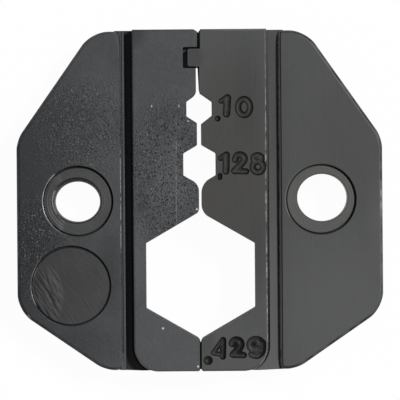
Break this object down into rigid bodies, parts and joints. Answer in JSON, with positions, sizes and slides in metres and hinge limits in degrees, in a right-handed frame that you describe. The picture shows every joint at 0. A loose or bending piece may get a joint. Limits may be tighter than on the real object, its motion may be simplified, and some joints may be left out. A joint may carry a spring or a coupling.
{
  "type": "crimp die",
  "caption": "Crimp die in matching halves with hexagonal nests, an alignment tab and slot, and thin mounting flanges with screw holes.",
  "frame": {"origin": "on the plane that the pads rest on, under the middle of the pair, in the plane where the lands of the two halves meet", "axes": "+X from the slotted half to the tabbed half, +Y towards the tab end, +Z out of the marked faces"},
  "size_m": [0.0366, 0.0342, 0.0095],
  "materials": {
    "left_half_steel": "blackened steel with a pebbled cast skin",
    "right_half_steel": "blackened steel, finely brushed"
  },
  "bodies": {
    "right_half": {"right_die_half": "right_half_steel"},
    "left_half": {"left_die_half": "left_half_steel"}
  },
  "joints": [
    {"name": "left_half_slide", "type": "slide", "parent": "right_half", "child": "left_half", "axis": [-1, 0, 0], "range_m": [0, 0.014]}
  ]
}
